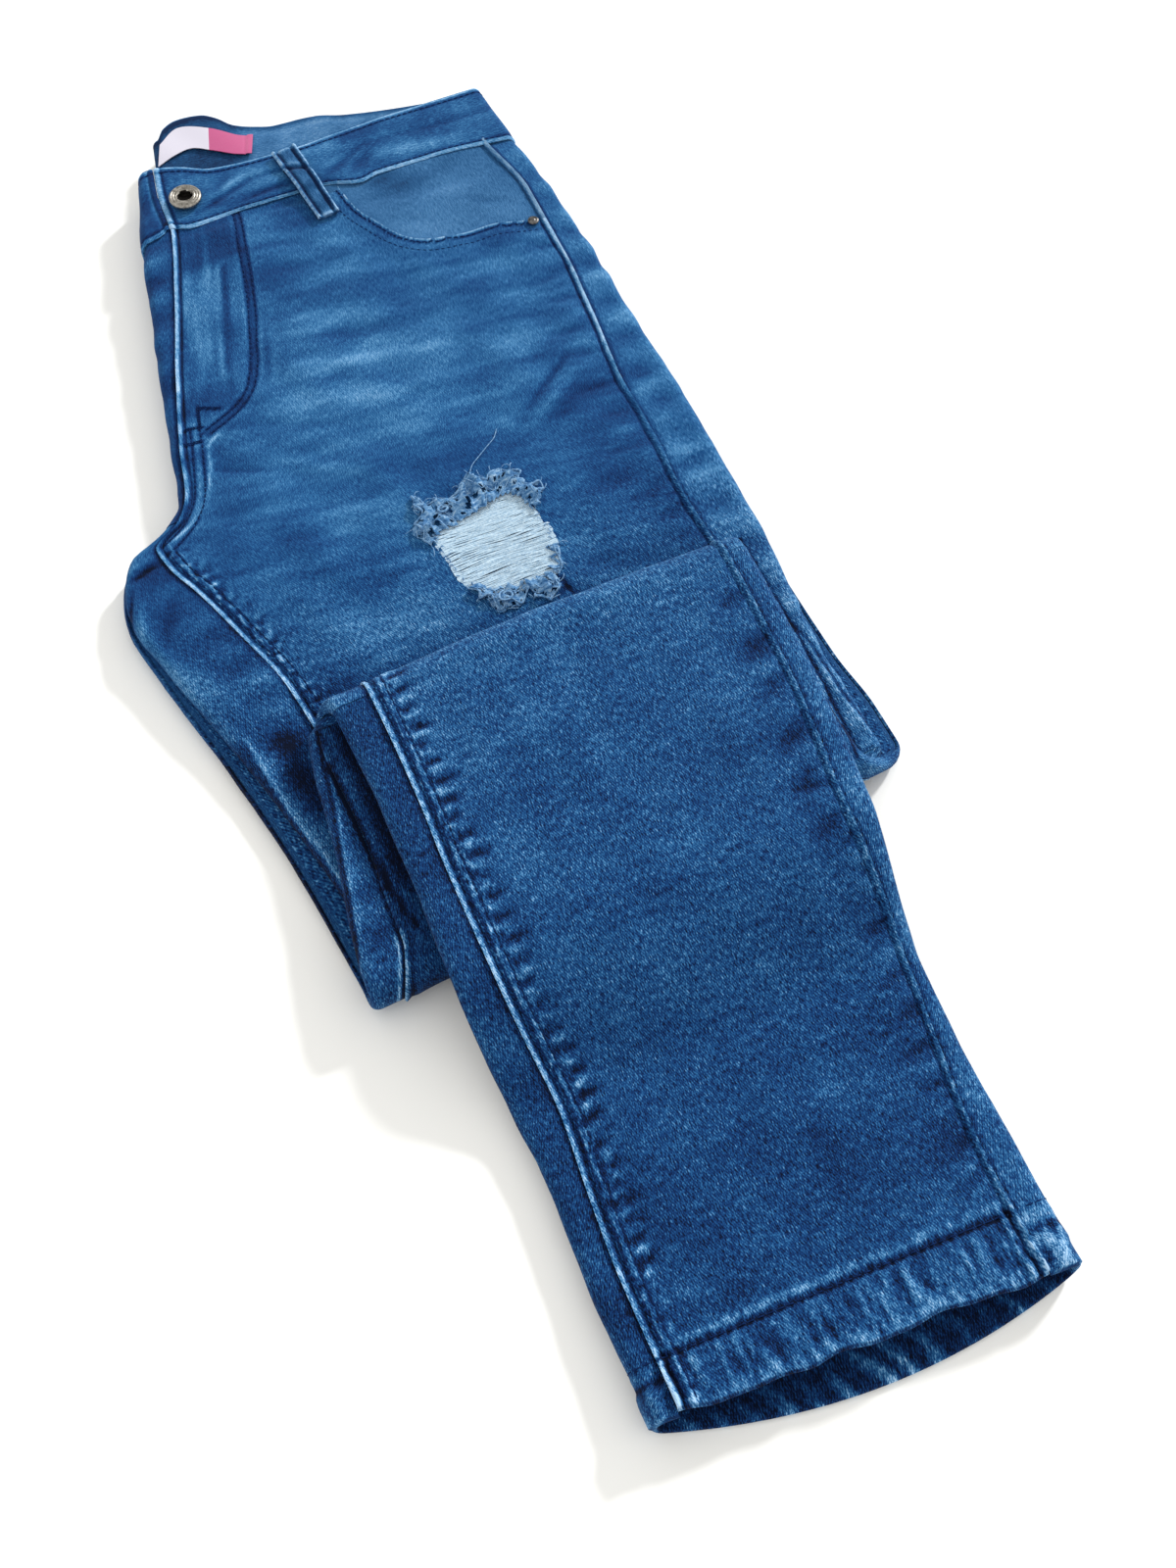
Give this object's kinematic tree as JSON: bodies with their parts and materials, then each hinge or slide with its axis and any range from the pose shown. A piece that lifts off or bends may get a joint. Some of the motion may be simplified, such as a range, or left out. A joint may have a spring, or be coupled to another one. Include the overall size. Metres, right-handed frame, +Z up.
{
  "type": "folded ripped jeans",
  "caption": "Ripped stretch-denim jeans, folded in half lengthwise and twice across the legs, lying flat with the left leg's hem on top and open.",
  "frame": {"origin": "under the middle of the folded bundle's bounding box, on the surface it lies on", "axes": "+X to the wearer's left (the side seams), +Y towards the waist, +Z up"},
  "size_m": [0.3018, 0.7388, 0.0356],
  "materials": {
    "denim": "stone-washed blue stretch denim, 3/1 twill",
    "weft": "bare off-white weft threads",
    "label": "plain woven satin, pink and white, no lettering",
    "metal": "antiqued silver, worn on its edges"
  },
  "bodies": {
    "root": {"folded_layers": "denim", "left_front_panel": "denim", "right_front_panel": "denim", "right_front_fly": "denim", "left_back_panel_inseam": "denim", "left_back_panel_side": "denim", "left_back_panel_lower": "denim", "right_back_panel_inseam": "denim", "right_back_panel_side": "denim", "right_back_panel_lower": "denim", "pocket_facing": "denim", "waistband_front_left": "denim", "waistband_front_right": "denim", "waistband_back": "denim", "belt_loop": "denim", "rip_threads": "weft", "label": "label", "button": "metal", "rivet": "metal"}
  },
  "joints": []
}
